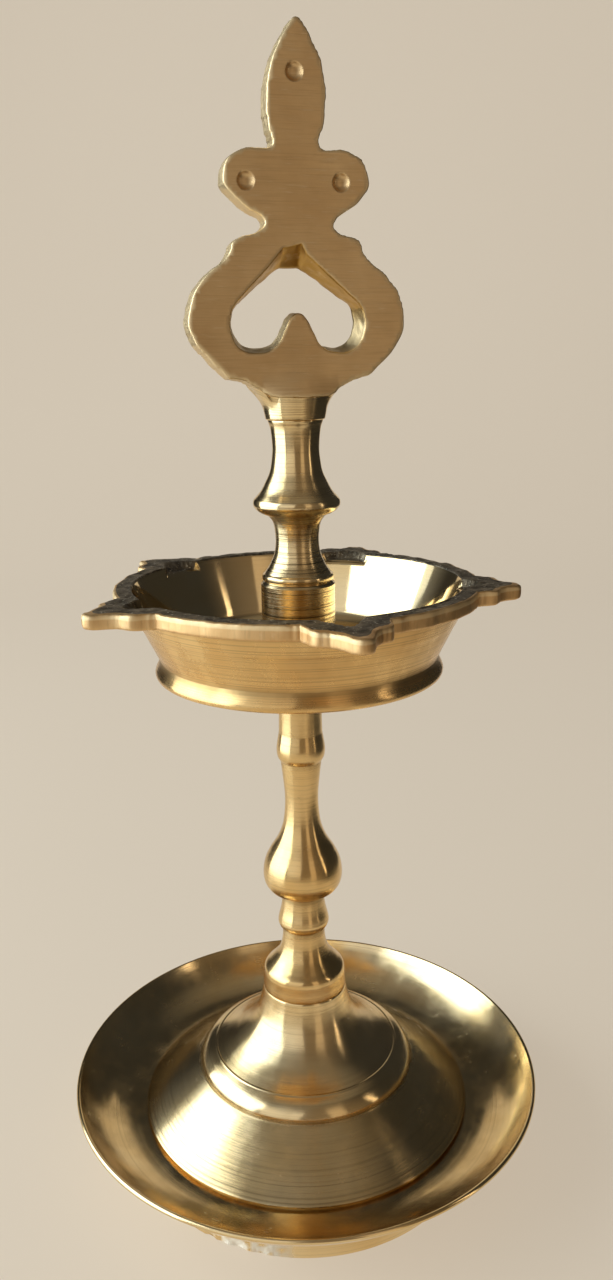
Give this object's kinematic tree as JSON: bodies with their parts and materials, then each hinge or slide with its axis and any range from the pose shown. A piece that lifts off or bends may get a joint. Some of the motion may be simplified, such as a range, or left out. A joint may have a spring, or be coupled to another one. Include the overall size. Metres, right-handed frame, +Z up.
{
  "type": "standing oil lamp",
  "caption": "Turned brass standing oil lamp: pointed wick spouts round an open bowl, on a baluster stem and bell base in a drip plate, with a flat cast finial. Sections unscrew.",
  "frame": {"origin": "on the table under the centre of the foot ring, on the lamp's axis", "axes": "+Z up along the lamp's axis; -Y towards the front spout and the finial's drilled face; +X to the right of someone who looks along +Y"},
  "size_m": [0.0904, 0.0904, 0.2031],
  "materials": {
    "polished_brass": "turned and polished to a mirror, with fine tool rings",
    "ground_brass": "cast, ground flat with fine cross lines, satin",
    "plain_steel": "plain, dull"
  },
  "bodies": {
    "base": {"drip_plate": "polished_brass", "bell_base": "polished_brass", "base_screw": "plain_steel", "base_washer": "plain_steel"},
    "stem_thread": {"stem_stud": "polished_brass"},
    "stem": {"lower_stem": "polished_brass"},
    "bowl_thread": {"bowl_stud": "polished_brass"},
    "bowl": {"oil_bowl": "polished_brass"},
    "upper_thread": {"upper_stud": "polished_brass"},
    "upper": {"upper_stem": "polished_brass"},
    "finial_thread": {"finial_stud": "polished_brass"},
    "top": {"finial": "ground_brass"}
  },
  "joints": [
    {"name": "stem_rise", "type": "slide", "parent": "base", "child": "stem_thread", "axis": [0, 0, 1], "range_m": [0, 0.0064]},
    {"name": "stem_turn", "type": "hinge", "parent": "stem_thread", "child": "stem", "pos_m": [0, 0, 0.0335], "axis": [0, 0, 1], "range_deg": [0, 2880]},
    {"name": "bowl_rise", "type": "slide", "parent": "stem", "child": "bowl_thread", "axis": [0, 0, 1], "range_m": [0, 0.0064]},
    {"name": "bowl_turn", "type": "hinge", "parent": "bowl_thread", "child": "bowl", "pos_m": [0, 0, 0.0976], "axis": [0, 0, 1], "range_deg": [0, 2880]},
    {"name": "upper_rise", "type": "slide", "parent": "bowl", "child": "upper_thread", "axis": [0, 0, 1], "range_m": [0, 0.0064]},
    {"name": "upper_turn", "type": "hinge", "parent": "upper_thread", "child": "upper", "pos_m": [0, 0, 0.1142], "axis": [0, 0, 1], "range_deg": [0, 2880]},
    {"name": "finial_rise", "type": "slide", "parent": "upper", "child": "finial_thread", "axis": [0, 0, 1], "range_m": [0, 0.0064]},
    {"name": "finial_turn", "type": "hinge", "parent": "finial_thread", "child": "top", "pos_m": [0, 0, 0.1419], "axis": [0, 0, 1], "range_deg": [0, 2880]}
  ],
  "couplings": [
    {"joint": "stem_turn", "follows": "stem_rise", "rad_per_m": 7854},
    {"joint": "bowl_turn", "follows": "bowl_rise", "rad_per_m": 7854},
    {"joint": "upper_turn", "follows": "upper_rise", "rad_per_m": 7854},
    {"joint": "finial_turn", "follows": "finial_rise", "rad_per_m": 7854}
  ]
}
